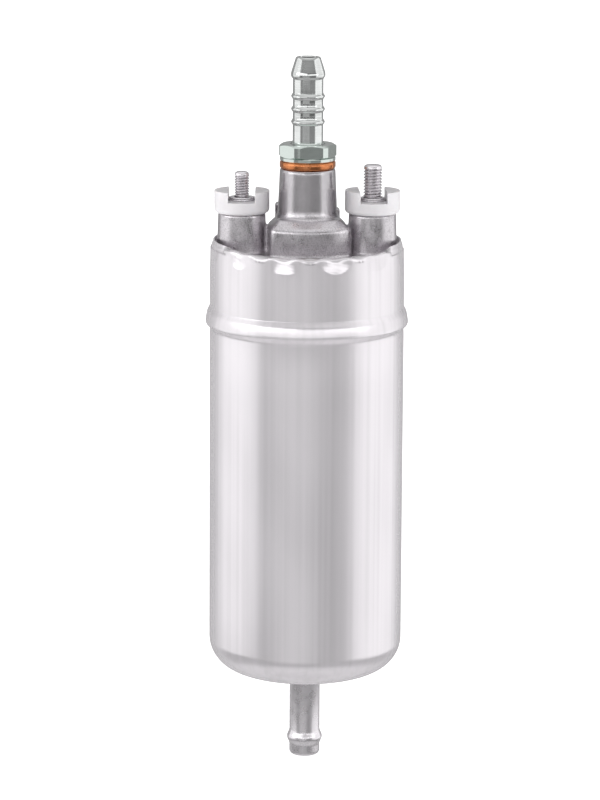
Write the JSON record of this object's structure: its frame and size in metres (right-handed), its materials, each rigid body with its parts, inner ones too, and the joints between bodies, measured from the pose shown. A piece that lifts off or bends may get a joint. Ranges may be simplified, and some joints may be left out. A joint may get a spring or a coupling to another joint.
{
  "type": "electric fuel pump",
  "caption": "Slim drawn-steel in-line electric fuel pump with crimped cast end cover, two insulated terminal studs, barbed outlet nipple and plain inlet spigot.",
  "frame": {"origin": "on the pump's axis, at the centre of the clamp band around the can", "axes": "+Z along the axis towards the outlet nipple, +X towards the larger terminal stud, -Y towards the viewer of the picture"},
  "size_m": [0.0542, 0.0542, 0.1915],
  "materials": {
    "can_steel": "bright drawn satin",
    "cast_aluminium": "as cast, lightly tumbled",
    "zinc_steel": "bright zinc plate",
    "copper": "soft copper",
    "nylon": "translucent white",
    "rubber": "black",
    "steel": "plain steel",
    "brass": "plain brass",
    "bronze": "sintered bronze",
    "ferrite": "sintered ferrite",
    "carbon": "carbon",
    "phenolic": "moulded phenolic"
  },
  "bodies": {
    "housing": {"can": "can_steel", "end_cover": "cast_aluminium", "cover_seal": "rubber", "outlet_nipple": "zinc_steel", "nipple_washer": "copper", "check_valve_seat": "brass", "check_valve_spring": "steel", "left_collar": "nylon", "right_collar": "nylon", "left_stud": "steel", "right_stud": "steel", "left_stud_washers": "steel", "right_stud_washers": "steel", "left_stud_nut": "steel", "right_stud_nut": "steel", "terminal_insulators": "phenolic", "left_strip": "brass", "right_strip": "brass", "brush_plate": "phenolic", "left_brush_guide": "brass", "right_brush_guide": "brass", "left_brush_spring": "steel", "right_brush_spring": "steel", "left_pigtail": "copper", "right_pigtail": "copper", "choke_cores": "ferrite", "choke_coils": "copper", "upper_bush": "bronze", "lower_bush": "bronze", "flux_ring": "steel", "front_magnet": "ferrite", "rear_magnet": "ferrite", "magnet_clips": "steel", "pump_base": "cast_aluminium", "cam_ring": "steel", "pump_cover": "cast_aluminium", "pump_screws": "steel", "relief_spring": "steel", "relief_plug": "brass"},
    "armature": {"shaft": "steel", "lamination_stack": "steel", "winding": "copper", "commutator": "copper", "commutator_hub": "phenolic", "shaft_shims": "steel", "drive_coupling": "nylon", "rotor_disc": "steel"},
    "roller_body_1": {"roller_1": "steel"},
    "roller_body_2": {"roller_2": "steel"},
    "roller_body_3": {"roller_3": "steel"},
    "roller_body_4": {"roller_4": "steel"},
    "roller_body_5": {"roller_5": "steel"},
    "left_brush_body": {"left_brush": "carbon"},
    "right_brush_body": {"right_brush": "carbon"},
    "check_valve": {"check_valve_poppet": "rubber"},
    "relief_valve": {"relief_ball": "steel"}
  },
  "joints": [
    {"name": "armature_spin", "type": "hinge", "parent": "housing", "child": "armature", "pos_m": [0, 0, 0], "axis": [0, 0, 1], "continuous": true},
    {"name": "roller_1_spin", "type": "hinge", "parent": "armature", "child": "roller_body_1", "pos_m": [0.0122, 0, -0.0325], "axis": [0, 0, 1], "continuous": true},
    {"name": "roller_2_spin", "type": "hinge", "parent": "armature", "child": "roller_body_2", "pos_m": [0.00377, 0.0116, -0.0325], "axis": [0, 0, 1], "continuous": true},
    {"name": "roller_3_spin", "type": "hinge", "parent": "armature", "child": "roller_body_3", "pos_m": [-0.00987, 0.00717, -0.0325], "axis": [0, 0, 1], "continuous": true},
    {"name": "roller_4_spin", "type": "hinge", "parent": "armature", "child": "roller_body_4", "pos_m": [-0.00987, -0.00717, -0.0325], "axis": [0, 0, 1], "continuous": true},
    {"name": "roller_5_spin", "type": "hinge", "parent": "armature", "child": "roller_body_5", "pos_m": [0.00377, -0.0116, -0.0325], "axis": [0, 0, 1], "continuous": true},
    {"name": "left_brush_slide", "type": "slide", "parent": "housing", "child": "left_brush_body", "axis": [-1, 0, 0], "range_m": [0, 0.002], "stiffness_N_per_m": 500, "springref_m": -0.005, "deforming": ["left_brush_spring", "left_pigtail"]},
    {"name": "right_brush_slide", "type": "slide", "parent": "housing", "child": "right_brush_body", "axis": [1, 0, 0], "range_m": [0, 0.002], "stiffness_N_per_m": 500, "springref_m": -0.005, "deforming": ["right_brush_spring", "right_pigtail"]},
    {"name": "check_valve_lift", "type": "slide", "parent": "housing", "child": "check_valve", "axis": [0, 0, 1], "range_m": [0, 0.002], "stiffness_N_per_m": 300, "springref_m": -0.002, "deforming": ["check_valve_spring"]},
    {"name": "relief_valve_lift", "type": "slide", "parent": "housing", "child": "relief_valve", "axis": [0, 0, -1], "range_m": [0, 0.0015], "stiffness_N_per_m": 3000, "springref_m": -0.0019, "deforming": ["relief_spring"]}
  ],
  "couplings": [
    {"joint": "roller_1_spin", "follows": "armature_spin", "ratio": -7.2444},
    {"joint": "roller_2_spin", "follows": "armature_spin", "ratio": -7.2444},
    {"joint": "roller_3_spin", "follows": "armature_spin", "ratio": -7.2444},
    {"joint": "roller_4_spin", "follows": "armature_spin", "ratio": -7.2444},
    {"joint": "roller_5_spin", "follows": "armature_spin", "ratio": -7.2444}
  ]
}
